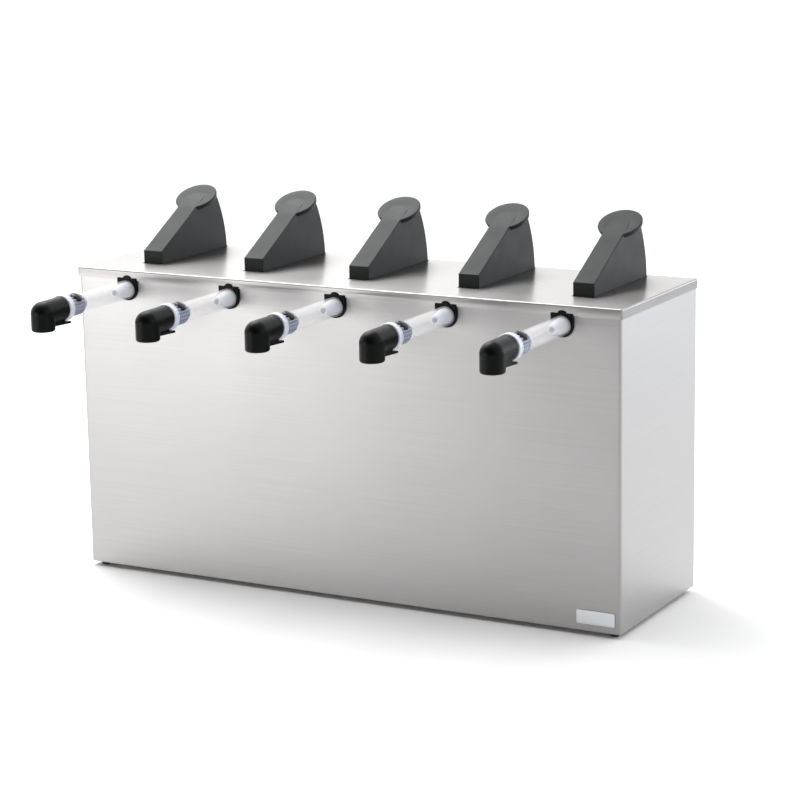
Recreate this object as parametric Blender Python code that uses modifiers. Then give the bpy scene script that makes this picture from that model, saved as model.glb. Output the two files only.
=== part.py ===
"""Countertop condiment pump station: a sheet-steel cabinet for sauce pouches under a
lift-off lid that carries five lever pumps, each with its own delivery nozzle.

Everything is in metres.  The world frame is centred on the object, +X to its right,
+Y to its back and +Z up, with Z = 0 at the underside of the feet.  A pump is drawn in
pump space: its origin is on the pump's centre plane, at the lid's front edge and on the
lid's top face, so heights under the lid are negative there.
"""
import math

import bmesh
import bpy
from mathutils import Matrix, Vector

# Driving dimensions
LID_WIDTH = 0.629
LID_DEPTH = 0.1905
NOZZLE_REACH = 0.1622         # front of the spout, ahead of the lid's front edge
FOOT_HEIGHT = 0.005
CABINET_HEIGHT = 0.3235       # lower edge of the cabinet to the top face of the lid
SHEET = 0.0012
GAP = 0.0003
PUMP_COUNT = 5

# Sheet metal
SKIRT_DEPTH = 0.010
BEND_RADIUS = 0.0015
CORNER_RADIUS = 0.003
FLANGE = 0.010
PAN_LIP = 0.012
FOOT_RADIUS = 0.005
FOOT_INSET = 0.011
PLATE_SIZE = (0.041, 0.014)
PLATE_THICKNESS = 0.0008
PLATE_MARGIN = (0.006, 0.007)

# Flow line, in pump space
FLOW_Z = -0.020
TUBE_RADIUS = 0.010
TUBE_BORE = 0.0083
TUBE_BACK_Y = 0.012
SPIGOT_RADIUS = 0.0080
SPIGOT_BORE = 0.0055
SPIGOT_TIP_Y = -0.024
SPIGOT_TIP_RADIUS = 0.0045
SPIGOT_TIP_BORE = 0.0030
SPIGOT_TAPER = 0.018
COLLAR_HALF = 0.01165
COLLAR_TOP_Z = -0.008
HUMP_HALF = 0.0045
HUMP_HEIGHT = 0.0027
COLLAR_FLANGE_HALF = 0.0145
COLLAR_FLANGE_RISE = 0.002
COLLAR_FLANGE_THICKNESS = 0.0026
COLLAR_PROUD = 0.003          # ahead of the cabinet's front
COLLAR_DEPTH = 0.010

# Quick-release coupler and nozzle, in pump space
COUPLER_BACK_Y = -0.091
RING_BACK_Y = -0.112
RING_FRONT_Y = -0.1195
COUPLER_RADIUS = 0.0113
RING_RADIUS = 0.0135
RING_CHAMFER = 0.001
STEM_TIP_Y = -0.083
STEM_RADIUS = TUBE_BORE - GAP
NOZZLE_STOP_Y = -0.1104
COUPLER_BORE = 0.0055
NOZZLE_SOCKET = 0.0084
BUTTON_Y = -0.0990
BUTTON_ROLL = math.radians(29.0)     # from straight up, towards the right
BUTTON_HALF = (0.0066, 0.0061)
BUTTON_TOP = 0.0125                  # distances from the flow line
BUTTON_FOOT = 0.0091
POCKET_FLOOR = 0.0074
SPIGOT_CLEARANCE = 0.002
ELBOW_RADIUS = 0.0122
SPOUT_Y = ELBOW_RADIUS - NOZZLE_REACH
SPOUT_BOTTOM_Z = -0.038
SPOUT_BORE = 0.0092
SPOUT_BORE_DEPTH = 0.012
NOZZLE_BORE = 0.0055
CATCH_HALF = 0.0065
CATCH_THICKNESS = 0.0024
CATCH_ROOT = 0.003            # height of the catch's root above the spout's mouth
CATCH_TIP_Y = -0.1105

# Lever, in pump space
PIVOT_Y = 0.056
PIVOT_Z = -0.006
LEVER_HALF = 0.0115
LEVER_WALL = 0.0022
LEVER_FRONT_Y = 0.050
LEVER_FRONT_Z = 0.0133
LEVER_HEM_Z = -0.0035
NECK = (0.1245, 0.0540)
RIB_TOP_Z = 0.0470
REAR_RADIUS = 0.124           # rear wall, an arc about the pivot
REAR_TOP_ANGLE = math.radians(32.0)
PAD_CENTRE = (0.1378, 0.0607)
PAD_RADIUS = 0.0232
PAD_TAPER = 0.001
PAD_THICKNESS = 0.005
PAD_TILT = math.radians(26.4)
LUG_RADIUS = 0.006
PIN_RADIUS = 0.0025
PIN_HALF = 0.0175
PIN_REACH = 0.03              # a pin hole's cutter runs this far to each side
STOP_LIP = (0.1785, 0.1853)    # front and back
STOP_LIP_TOP_Z = -0.0017
STOP_LIP_HALF = 0.009
LEVER_TRAVEL = math.radians(26.0)

# Pump, in pump space
PLUNGER_Y = 0.116
BOSS_RADIUS = 0.003
HALF_STROKE = (PLUNGER_Y - PIVOT_Y) * math.tan(LEVER_TRAVEL / 2)
BOSS_Z = PIVOT_Z + HALF_STROKE
HEAD_TOP_Z = BOSS_Z - BOSS_RADIUS - GAP
HEAD_RADIUS = 0.0075
ROD_RADIUS = 0.0045
PISTON_TOP_Z = -0.044
PISTON_BOTTOM_Z = -0.056
PISTON_RADIUS = 0.0189
PISTON_WAIST = 0.0174
PISTON_LIP = 0.004
HEAD_THICKNESS = 0.005
CHAMBER_BORE = 0.0193
CHAMBER_RADIUS = 0.0215
CHAMBER_TOP_Z = -0.0435
CHAMBER_FLOOR_Z = -0.0923
CHAMBER_BOTTOM_Z = -0.096
INTAKE_RADIUS = 0.009
INTAKE_BORE = 0.006
INTAKE_BOTTOM_Z = -0.112
RISER_Y = 0.068
RISER_RADIUS = 0.008
DUCT_Z = -0.087
DUCT_RADIUS = 0.006
DUCT_BORE = 0.004
EAR_IN = 0.0123
EAR_OUT = 0.0163
EAR_FRONT_Y = 0.048
EAR_STEP_Y = 0.100
EAR_BACK_Y = 0.132
EAR_FRONT_Z = -0.029          # underside at the front, by the riser
EAR_BACK_Z = -0.052           # and at the back, on the chamber
SADDLE_Y = (0.0505, 0.0785)
SADDLE_TOP_Z = -0.0150
SPRING_RADIUS = 0.014
SPRING_WIRE = 0.0008
SPRING_TURNS = 4.5

# Facets round a large, a usual and a small circle
LARGE = 20
USUAL = 12
SMALL = 8

# Slots in the lid, in pump space
SLOT_HALF = 0.0122
SLOT_FRONT_Y = 0.046
SLOT_BACK_Y = 0.183
SLOT_CORNER = 0.003

# Places that follow from the sizes above
PITCH = LID_WIDTH / PUMP_COUNT
LID_TOP = FOOT_HEIGHT + CABINET_HEIGHT
LID_FRONT = (NOZZLE_REACH - LID_DEPTH) / 2
INSET = SHEET + GAP                       # a skin nested inside another one
HALF_WIDTH = LID_WIDTH / 2 - INSET        # outside of the cabinet
FRONT = LID_FRONT + INSET
BACK = LID_FRONT + LID_DEPTH - INSET
CABINET_TOP = LID_TOP - INSET

PLANES = {
    "side": (Vector((1, 0, 0)), Matrix(((0, 0, 1), (1, 0, 0), (0, 1, 0)))),
    "front": (Vector((0, 1, 0)), Matrix(((1, 0, 0), (0, 0, -1), (0, 1, 0)))),
    "plan": (Vector((0, 0, 1)), Matrix.Identity(3)),
}


# Scene and materials

def clear_scene():
    for item in list(bpy.data.objects):
        bpy.data.objects.remove(item, do_unlink=True)


def new_collection(name):
    made = bpy.data.collections.new(name)
    bpy.context.scene.collection.children.link(made)
    return made


def material(name, colour, roughness, metallic=0.0, alpha=1.0, transmission=0.0):
    made = bpy.data.materials.new(name)
    made.use_nodes = True
    shader = made.node_tree.nodes["Principled BSDF"]
    shader.inputs["Base Color"].default_value = (*colour, 1.0)
    shader.inputs["Roughness"].default_value = roughness
    shader.inputs["Metallic"].default_value = metallic
    shader.inputs["Alpha"].default_value = alpha
    shader.inputs["Transmission Weight"].default_value = transmission
    made.diffuse_color = (*colour, alpha)
    made.metallic = metallic
    made.roughness = roughness
    return made


# Shapes: each helper returns a mesh object among the guides

def guide(name, mesh):
    made = bpy.data.objects.new(name, mesh)
    guides.objects.link(made)
    made.hide_render = True
    made.display_type = "WIRE"
    return made


def guide_from(name, shape):
    mesh = bpy.data.meshes.new(name)
    shape.to_mesh(mesh)
    shape.free()
    return guide(name, mesh)


def applied(source, name):
    """A new guide holding the finished mesh of source, in place of source."""
    bpy.context.view_layer.update()
    depsgraph = bpy.context.evaluated_depsgraph_get()
    mesh = bpy.data.meshes.new_from_object(source.evaluated_get(depsgraph))
    mesh.name = name
    mesh.transform(source.matrix_world)
    bpy.data.objects.remove(source, do_unlink=True)
    shape = bmesh.new()
    shape.from_mesh(mesh)
    bmesh.ops.remove_doubles(shape, verts=shape.verts, dist=0.000001)
    shape.to_mesh(mesh)
    shape.free()
    return guide(name, mesh)


def box(name, low, high):
    shape = bmesh.new()
    size = Vector(high) - Vector(low)
    middle = (Vector(high) + Vector(low)) / 2
    place = Matrix.Translation(middle) @ Matrix.Diagonal((*size, 1.0))
    bmesh.ops.create_cube(shape, size=1.0, matrix=place)
    return guide_from(name, shape)


def rod(name, start, end, radius, sides=USUAL, end_radius=None):
    """A round bar from start to end, tapered when it has an end_radius."""
    start, end = Vector(start), Vector(end)
    turn = (end - start).to_track_quat("Z", "Y").to_matrix().to_4x4()
    shape = bmesh.new()
    bmesh.ops.create_cone(
        shape, cap_ends=True, segments=sides, radius1=radius,
        radius2=radius if end_radius is None else end_radius,
        depth=(end - start).length, matrix=Matrix.Translation((start + end) / 2) @ turn)
    return guide_from(name, shape)


def prism(name, outline, low, high, plane):
    """A flat outline in one of PLANES, thickened from low to high along the third axis."""
    curve = bpy.data.curves.new(name, "CURVE")
    curve.dimensions = "2D"
    curve.fill_mode = "BOTH"
    curve.extrude = (high - low) / 2
    spline = curve.splines.new("POLY")
    spline.points.add(len(outline) - 1)
    for point, (u, v) in zip(spline.points, outline):
        point.co = (u, v, 0, 1)
    spline.use_cyclic_u = True
    flat = bpy.data.objects.new(name, curve)
    guides.objects.link(flat)
    normal, turn = PLANES[plane]
    flat.matrix_world = Matrix.Translation(normal * (low + high) / 2) @ turn.to_4x4()
    return applied(flat, name)


def turned(name, profile, start, direction, sides=USUAL):
    """A closed (radius, distance) profile spun about the line from start along direction.

    The profile runs down its outer side, from the far end back towards the start.
    """
    mesh = bpy.data.meshes.new(name)
    on_axis = profile[0][0] == 0
    edges = [(i, i + 1) for i in range(len(profile) - 1)]
    if not on_axis:
        edges.append((len(profile) - 1, 0))
    mesh.from_pydata([(r, 0, s) for r, s in profile], edges, [])
    spun = bpy.data.objects.new(name, mesh)
    guides.objects.link(spun)
    screw = spun.modifiers.new("turn", "SCREW")
    screw.steps = sides
    screw.render_steps = sides
    screw.use_merge_vertices = True
    screw.merge_threshold = 0.00001
    turn = Vector(direction).to_track_quat("Z", "Y").to_matrix().to_4x4()
    spun.matrix_world = Matrix.Translation(start) @ turn
    return applied(spun, name)


def tray(name, low, high, open_faces, bend=0.0):
    """A folded sheet: a box without its open faces, thickened inwards."""
    shape = bmesh.new()
    size = Vector(high) - Vector(low)
    middle = (Vector(high) + Vector(low)) / 2
    place = Matrix.Translation(middle) @ Matrix.Diagonal((*size, 1.0))
    bmesh.ops.create_cube(shape, size=1.0, matrix=place)
    shape.normal_update()
    gone = [f for f in shape.faces if any(f.normal.dot(Vector(n)) > 0.9 for n in open_faces)]
    bmesh.ops.delete(shape, geom=gone, context="FACES")
    if bend:
        folds = [e for e in shape.edges if len(e.link_faces) == 2]
        bmesh.ops.bevel(shape, geom=folds, offset=bend, segments=2, profile=0.5,
                        affect="EDGES")
    made = guide_from(name, shape)
    thicken(made)
    return made


def thicken(sheet_object):
    solid = sheet_object.modifiers.new("sheet", "SOLIDIFY")
    solid.thickness = SHEET
    solid.offset = -1
    solid.use_even_offset = True


def join(base, *tools):
    for tool in tools:
        step = base.modifiers.new("join " + tool.name, "BOOLEAN")
        step.operation = "UNION"
        step.object = tool


def cut(base, *tools):
    for tool in tools:
        step = base.modifiers.new("cut " + tool.name, "BOOLEAN")
        step.operation = "DIFFERENCE"
        step.object = tool


def arc(centre, radius, first, last, steps):
    """Points on a circle from angle first to angle last, both in radians."""
    cy, cz = centre
    return [(cy + radius * math.cos(first + (last - first) * i / steps),
             cz + radius * math.sin(first + (last - first) * i / steps))
            for i in range(steps + 1)]


def round_rectangle(low, high, radius, steps=2):
    (x0, y0), (x1, y1) = low, high
    corners = ((x1 - radius, y1 - radius), (x0 + radius, y1 - radius),
               (x0 + radius, y0 + radius), (x1 - radius, y0 + radius))
    points = []
    for quarter, corner in enumerate(corners):
        first = quarter * math.pi / 2
        points += arc(corner, radius, first, first + math.pi / 2, steps)
    return points


# Finished nodes

def node(name, shape, finish, parent=None, smooth_angle=35):
    """Make a guide's finished shape one of the object's named pieces."""
    mesh = applied(shape, name).data
    bpy.data.objects.remove(bpy.data.objects[name], do_unlink=True)
    mesh.name = name
    return copy(name, mesh, finish, parent, smooth_angle)


def copy(name, mesh, finish, parent=None, smooth_angle=35):
    made = bpy.data.objects.new(name, mesh)
    model.objects.link(made)
    if not mesh.materials:
        mesh.materials.append(finish)
        mesh.shade_smooth()
        mesh.set_sharp_from_angle(angle=math.radians(smooth_angle))
    if parent:
        made.parent = parent
    return made


def axis_empty(name, place, parent=None):
    made = bpy.data.objects.new(name, None)
    model.objects.link(made)
    made.empty_display_size = 0.01
    made.location = place
    if parent:
        made.parent = parent
    return made


# Cabinet

def collar_outline(grow):
    """The collar's U with its little arch on top, grown by a margin all round."""
    half = COLLAR_HALF + grow
    top = COLLAR_TOP_Z + grow
    hump = HUMP_HALF + grow
    round_end = arc((0, FLOW_Z), half, math.pi, 2 * math.pi, USUAL // 2)
    arch = [(hump * math.cos(a), top + HUMP_HEIGHT * math.sin(a))
            for a in (math.radians(d) for d in range(0, 181, 45))]
    return round_end + [(half, top)] + arch + [(-half, top)]


def cabinet_wrap():
    """Front and both sides, bent from one sheet, with an open-topped U for each collar."""
    r = CORNER_RADIUS
    left = arc((-HALF_WIDTH + r, FRONT + r), r, math.pi, 1.5 * math.pi, 4)
    right = arc((HALF_WIDTH - r, FRONT + r), r, 1.5 * math.pi, 2 * math.pi, 4)
    path = [(-HALF_WIDTH, BACK)] + left + right + [(HALF_WIDTH, BACK)]
    shape = bmesh.new()
    low = [shape.verts.new((x, y, FOOT_HEIGHT)) for x, y in path]
    high = [shape.verts.new((x, y, CABINET_TOP)) for x, y in path]
    for i in range(len(path) - 1):
        shape.faces.new((low[i], low[i + 1], high[i + 1], high[i]))
    wrap = guide_from("wrap", shape)
    thicken(wrap)
    half = COLLAR_HALF + GAP
    for n, x in enumerate(pump_places()):
        outline = [(x + u, LID_TOP + v) for u, v in
                   arc((0, FLOW_Z), half, math.pi, 2 * math.pi, USUAL // 2)]
        outline += [(x + half, LID_TOP), (x - half, LID_TOP)]
        cut(wrap, prism(f"collar notch {n}", outline, FRONT - 0.01, FRONT + 0.01, "front"))
    return wrap


def back_panel():
    side = HALF_WIDTH - INSET
    return tray("back", (-side, BACK - FLANGE, FOOT_HEIGHT + INSET), (side, BACK, CABINET_TOP),
                ((0, -1, 0), (0, 0, -1), (0, 0, 1)))


def base_pan():
    side = HALF_WIDTH - 2 * INSET
    return tray("pan", (-side, FRONT + INSET, FOOT_HEIGHT),
                (side, BACK - INSET, FOOT_HEIGHT + PAN_LIP), ((0, 0, 1),))


def lid():
    """The lid: its slots let the levers down, its skirt clears the collars."""
    side = LID_WIDTH / 2
    cover = tray("cover", (-side, LID_FRONT, LID_TOP - SKIRT_DEPTH),
                 (side, LID_FRONT + LID_DEPTH, LID_TOP), ((0, 0, -1),), BEND_RADIUS)
    for n, x in enumerate(pump_places()):
        slot = round_rectangle((x - SLOT_HALF, LID_FRONT + SLOT_FRONT_Y),
                               (x + SLOT_HALF, LID_FRONT + SLOT_BACK_Y), SLOT_CORNER)
        cut(cover, prism(f"lever slot {n}", slot, LID_TOP - 0.005, LID_TOP + 0.005, "plan"))
        notch = [(x + u, LID_TOP + v) for u, v in collar_outline(GAP)]
        cut(cover, prism(f"skirt notch {n}", notch, LID_FRONT - 0.01, LID_FRONT + 0.01, "front"))
    return cover


def foot(x, y):
    profile = [(0, FOOT_HEIGHT - GAP), (FOOT_RADIUS, FOOT_HEIGHT - GAP),
               (FOOT_RADIUS * 0.86, 0), (0, 0)]
    return turned("foot", profile, (x, y, 0), (0, 0, 1))


def nameplate():
    wide, high = PLATE_SIZE
    right = HALF_WIDTH - PLATE_MARGIN[0]
    bottom = FOOT_HEIGHT + PLATE_MARGIN[1]
    outline = round_rectangle((right - wide, bottom), (right, bottom + high), 0.0015)
    return prism("plate", outline, FRONT - GAP - PLATE_THICKNESS, FRONT - GAP, "front")


# Flow line

def front_collar():
    """Bush around the tube where it leaves the cabinet, with a flange behind the panel."""
    front = INSET - COLLAR_PROUD
    plate = prism("collar", collar_outline(0), front, front + COLLAR_DEPTH, "front")
    half = COLLAR_FLANGE_HALF
    wide = arc((0, FLOW_Z), half, math.pi, 2 * math.pi, USUAL // 2)
    top = COLLAR_TOP_Z + COLLAR_FLANGE_RISE
    wide += [(half, top), (-half, top)]
    back = INSET + SHEET + GAP
    join(plate, prism("collar flange", wide, back, back + COLLAR_FLANGE_THICKNESS, "front"))
    cut(plate, rod("collar bore", (0, -COLLAR_DEPTH, FLOW_Z), (0, 2 * COLLAR_DEPTH, FLOW_Z),
                   TUBE_RADIUS + GAP))
    return plate


def discharge_tube():
    length = TUBE_BACK_Y - COUPLER_BACK_Y - GAP
    profile = [(TUBE_RADIUS, length), (TUBE_RADIUS, 0), (TUBE_BORE, 0), (TUBE_BORE, length)]
    return turned("tube", profile, (0, TUBE_BACK_Y, FLOW_Z), (0, -1, 0))


def lock_collar():
    """Coupler with a stem inside the tube at its back and a socket for the nozzle in front."""
    back = STEM_TIP_Y
    ring_back, ring_front = back - RING_BACK_Y, back - RING_FRONT_Y
    shoulder, nozzle_stop = back - COUPLER_BACK_Y, back - NOZZLE_STOP_Y
    profile = [(RING_RADIUS - RING_CHAMFER, ring_front),
               (RING_RADIUS, ring_front - RING_CHAMFER),
               (RING_RADIUS, ring_back),
               (COUPLER_RADIUS, ring_back), (COUPLER_RADIUS, shoulder),
               (STEM_RADIUS, shoulder), (STEM_RADIUS, 0), (COUPLER_BORE, 0),
               (COUPLER_BORE, nozzle_stop), (NOZZLE_SOCKET, nozzle_stop),
               (NOZZLE_SOCKET, ring_front)]
    sleeve = turned("coupler", profile, (0, back, FLOW_Z), (0, -1, 0))
    pocket = rod("button pocket", (0, BUTTON_Y, FLOW_Z + POCKET_FLOOR),
                 (0, BUTTON_Y, FLOW_Z + RING_RADIUS), BUTTON_HALF[0] + GAP)
    make_oval(pocket)
    roll_to_button(pocket)
    cut(sleeve, pocket)
    return sleeve


def make_oval(shape):
    """Narrow a round shape, still above the flow line, to the button's oval."""
    ratio = BUTTON_HALF[1] / BUTTON_HALF[0]
    centre = Vector((0, BUTTON_Y, 0))
    squeeze = Matrix.Diagonal((1, ratio, 1, 1))
    shape.data.transform(Matrix.Translation(centre) @ squeeze @ Matrix.Translation(-centre))


def roll_to_button(shape):
    """Turn a shape that stands above the flow line about it, to where the button is."""
    centre = Vector((0, 0, FLOW_Z))
    turn = Matrix.Rotation(BUTTON_ROLL, 4, "Y")
    shape.data.transform(Matrix.Translation(centre) @ turn @ Matrix.Translation(-centre))


def lock_button():
    half = BUTTON_HALF[0]
    rise = BUTTON_TOP - BUTTON_FOOT
    profile = [(0, rise), (half * 0.70, rise * 0.88), (half, rise * 0.45), (half, 0), (0, 0)]
    cap = turned("button", profile, (0, BUTTON_Y, FLOW_Z + BUTTON_FOOT), (0, 0, 1))
    make_oval(cap)
    roll_to_button(cap)
    return cap


def nozzle():
    """Elbow that turns the sauce down, with a spigot behind it and a catch under its cuff."""
    back = NOZZLE_STOP_Y - SPIGOT_CLEARANCE
    cuff_back, corner = back - RING_FRONT_Y + GAP, back - SPOUT_Y
    end = [(ELBOW_RADIUS * math.cos(a), corner + ELBOW_RADIUS * math.sin(a))
           for a in (math.radians(d) for d in (67.5, 45, 22.5, 0))]
    profile = [(0, corner + ELBOW_RADIUS)] + end
    profile += [(ELBOW_RADIUS, cuff_back), (NOZZLE_SOCKET - GAP, cuff_back),
                (NOZZLE_SOCKET - GAP, 0), (0, 0)]
    body = turned("elbow", profile, (0, back, FLOW_Z), (0, -1, 0))
    over = FLOW_Z - RING_RADIUS - GAP
    root_y = SPOUT_Y + ELBOW_RADIUS - CATCH_THICKNESS
    root_top = FLOW_Z - ELBOW_RADIUS + CATCH_THICKNESS
    hook = RING_FRONT_Y - 0.0015
    catch = [(root_y, root_top), (root_y, SPOUT_BOTTOM_Z + CATCH_ROOT),
             (CATCH_TIP_Y, over - CATCH_THICKNESS), (CATCH_TIP_Y, over), (hook, over),
             (hook, root_top)]
    shoulder = SPOUT_BOTTOM_Z + SPOUT_BORE_DEPTH
    join(body,
         rod("spout", (0, SPOUT_Y, FLOW_Z + 0.001), (0, SPOUT_Y, SPOUT_BOTTOM_Z),
             ELBOW_RADIUS - 0.0002),
         prism("catch", catch, -CATCH_HALF, CATCH_HALF, "side"))
    cut(body,
        rod("flow", (0, NOZZLE_STOP_Y + 0.005, FLOW_Z), (0, SPOUT_Y, FLOW_Z), NOZZLE_BORE, SMALL),
        rod("outlet", (0, SPOUT_Y, shoulder), (0, SPOUT_Y, SPOUT_BOTTOM_Z - 0.005), SPOUT_BORE),
        rod("throat", (0, SPOUT_Y, FLOW_Z + 0.002), (0, SPOUT_Y, shoulder - 0.004),
            NOZZLE_BORE - 0.0002, SMALL))
    return body


# Pump

def pump_body():
    """Chamber, riser, spigot and the ears that hold the lever's pin, moulded as one."""
    y = PLUNGER_Y
    body = rod("chamber", (0, y, CHAMBER_BOTTOM_Z), (0, y, CHAMBER_TOP_Z), CHAMBER_RADIUS, LARGE)
    join(body,
         rod("intake", (0, y, INTAKE_BOTTOM_Z), (0, y, CHAMBER_BOTTOM_Z + 0.002),
             INTAKE_RADIUS, SMALL),
         rod("duct", (0, RISER_Y, DUCT_Z), (0, y - 0.017, DUCT_Z), DUCT_RADIUS, SMALL),
         rod("riser", (0, RISER_Y, DUCT_Z - 0.0075), (0, RISER_Y, FLOW_Z + RISER_RADIUS - 0.0005),
             RISER_RADIUS, SMALL),
         rod("outlet spigot", (0, RISER_Y, FLOW_Z), (0, SPIGOT_TIP_Y + SPIGOT_TAPER, FLOW_Z),
             SPIGOT_RADIUS - 0.0001, SMALL),
         rod("spigot tip", (0, SPIGOT_TIP_Y + SPIGOT_TAPER + 0.0005, FLOW_Z),
             (0, SPIGOT_TIP_Y, FLOW_Z), SPIGOT_RADIUS - 0.0002, SMALL, SPIGOT_TIP_RADIUS),
         box("saddle", (-EAR_OUT + 0.001, SADDLE_Y[0], EAR_FRONT_Z - 0.001),
             (EAR_OUT - 0.001, SADDLE_Y[1], SADDLE_TOP_Z)))
    ear = [(EAR_FRONT_Y, EAR_FRONT_Z), (EAR_STEP_Y, EAR_FRONT_Z), (EAR_STEP_Y, EAR_BACK_Z),
           (EAR_BACK_Y, EAR_BACK_Z), (EAR_BACK_Y, -INSET), (EAR_FRONT_Y, -INSET)]
    for side in (-1, 1):
        low, high = sorted((side * EAR_IN, side * EAR_OUT))
        join(body, prism(f"ear {side}", ear, low, high, "side"))
    cut(body,
        rod("chamber bore", (0, y, CHAMBER_FLOOR_Z), (0, y, 0.01), CHAMBER_BORE, LARGE),
        rod("intake bore", (0, y, INTAKE_BOTTOM_Z - 0.01), (0, y, CHAMBER_FLOOR_Z + 0.01),
            INTAKE_BORE, SMALL),
        rod("duct bore", (0, RISER_Y, DUCT_Z), (0, y - 0.010, DUCT_Z), DUCT_BORE, SMALL),
        rod("riser bore", (0, RISER_Y, DUCT_Z - 0.0041), (0, RISER_Y, FLOW_Z + 0.0003),
            SPIGOT_BORE - 0.0003, SMALL),
        rod("spigot bore", (0, RISER_Y, FLOW_Z), (0, SPIGOT_TIP_Y + SPIGOT_TAPER, FLOW_Z),
            SPIGOT_BORE, SMALL),
        rod("tip bore", (0, RISER_Y, FLOW_Z), (0, SPIGOT_TIP_Y - 0.01, FLOW_Z),
            SPIGOT_TIP_BORE, SMALL),
        rod("pin holes", (-PIN_REACH, PIVOT_Y, PIVOT_Z), (PIN_REACH, PIVOT_Y, PIVOT_Z),
            PIN_RADIUS + GAP, SMALL))
    return body


def lever_profile(wall):
    """Side view of the lever's shell, drawn a wall's thickness inside its outer face."""
    pivot = (PIVOT_Y, PIVOT_Z)
    lean = math.atan2(NECK[1] - LEVER_FRONT_Z, NECK[0] - LEVER_FRONT_Y)
    drop = wall / math.cos(lean)
    bottom = FLOW_Z if wall else LEVER_HEM_Z
    radius = REAR_RADIUS - wall
    low_angle = math.asin((bottom - PIVOT_Z) / radius)
    rear = arc(pivot, radius, low_angle, REAR_TOP_ANGLE - 2.5 * wall / REAR_RADIUS, 4)
    front_y = LEVER_FRONT_Y + wall
    top = [(NECK[0], NECK[1] - drop), (front_y, LEVER_FRONT_Z - drop + wall * math.tan(lean))]
    if wall:
        return rear + top + [(front_y, bottom)]
    lug = arc(pivot, LUG_RADIUS, math.pi, 2 * math.pi, 6)
    return rear + top + lug + [(PIVOT_Y + LUG_RADIUS, LEVER_HEM_Z)]


def lever():
    """Hollow thumb lever with a round pad, a rib that presses the plunger and a stop lip."""
    inside = LEVER_HALF - LEVER_WALL
    shell = prism("lever shell", lever_profile(0), -LEVER_HALF, LEVER_HALF, "side")
    cut(shell, prism("lever hollow", lever_profile(LEVER_WALL), -inside, inside, "side"))
    across = inside + LEVER_WALL / 3
    tilt = Vector((0, -math.sin(PAD_TILT), math.cos(PAD_TILT)))
    centre = Vector((0, *PAD_CENTRE))
    join(shell,
         rod("pad", centre - tilt * PAD_THICKNESS, centre, PAD_RADIUS - PAD_TAPER, LARGE,
             PAD_RADIUS),
         box("rib", (-across, PLUNGER_Y - BOSS_RADIUS + 0.0002, BOSS_Z),
             (across, PLUNGER_Y + BOSS_RADIUS - 0.0002, RIB_TOP_Z)),
         rod("boss", (-across, PLUNGER_Y, BOSS_Z), (across, PLUNGER_Y, BOSS_Z), BOSS_RADIUS, SMALL),
         box("stop lip", (-STOP_LIP_HALF, STOP_LIP[0], LEVER_HEM_Z - 0.0001),
             (STOP_LIP_HALF, STOP_LIP[1], STOP_LIP_TOP_Z)))
    cut(shell, rod("lever pin hole", (-PIN_REACH, PIVOT_Y, PIVOT_Z), (PIN_REACH, PIVOT_Y, PIVOT_Z),
                   PIN_RADIUS + GAP, SMALL))
    return shell


def lever_pin():
    return rod("pin", (-PIN_HALF, PIVOT_Y, PIVOT_Z), (PIN_HALF, PIVOT_Y, PIVOT_Z), PIN_RADIUS, SMALL)


def plunger():
    """Rod with a round head above and, below, a piston whose two lips wipe the chamber."""
    top, bottom, r = PISTON_TOP_Z, PISTON_BOTTOM_Z, PISTON_RADIUS
    under_head = HEAD_TOP_Z - HEAD_THICKNESS
    profile = [(0, HEAD_TOP_Z), (HEAD_RADIUS, HEAD_TOP_Z), (HEAD_RADIUS, under_head),
               (ROD_RADIUS, under_head - HEAD_RADIUS + ROD_RADIUS), (ROD_RADIUS, top), (r, top),
               (PISTON_WAIST, top - PISTON_LIP), (PISTON_WAIST, bottom + PISTON_LIP),
               (r, bottom), (0, bottom)]
    return turned("plunger shape", profile, (0, PLUNGER_Y, 0), (0, 0, 1))


def return_spring():
    """Compression spring under the piston, standing on the chamber's floor."""
    low = CHAMBER_FLOOR_Z + GAP + SPRING_WIRE
    high = PISTON_BOTTOM_Z - GAP - SPRING_WIRE
    steps = round(SPRING_TURNS * 6)
    curve = bpy.data.curves.new("coil", "CURVE")
    curve.dimensions = "3D"
    curve.bevel_depth = SPRING_WIRE
    curve.bevel_resolution = 0
    curve.use_fill_caps = True
    spline = curve.splines.new("POLY")
    spline.points.add(steps)
    for i, point in enumerate(spline.points):
        turn = 2 * math.pi * SPRING_TURNS * i / steps
        point.co = (SPRING_RADIUS * math.cos(turn), PLUNGER_Y + SPRING_RADIUS * math.sin(turn),
                    low + (high - low) * i / steps, 1)
    coil = bpy.data.objects.new("coil", curve)
    guides.objects.link(coil)
    return applied(coil, "spring coil")


# Assembly

def pump_places():
    return [PITCH * (n - (PUMP_COUNT - 1) / 2) for n in range(PUMP_COUNT)]


def build_cabinet():
    node("cabinet_wrap", cabinet_wrap(), steel)
    node("back_panel", back_panel(), steel)
    node("base_pan", base_pan(), steel)
    node("nameplate", nameplate(), plate_metal)
    corners = {"left": -HALF_WIDTH + FOOT_INSET, "right": HALF_WIDTH - FOOT_INSET}
    ends = {"front": FRONT + FOOT_INSET, "rear": BACK - FOOT_INSET}
    for end, y in ends.items():
        for side, x in corners.items():
            node(f"foot_{end}_{side}", foot(x, y), rubber)


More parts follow.
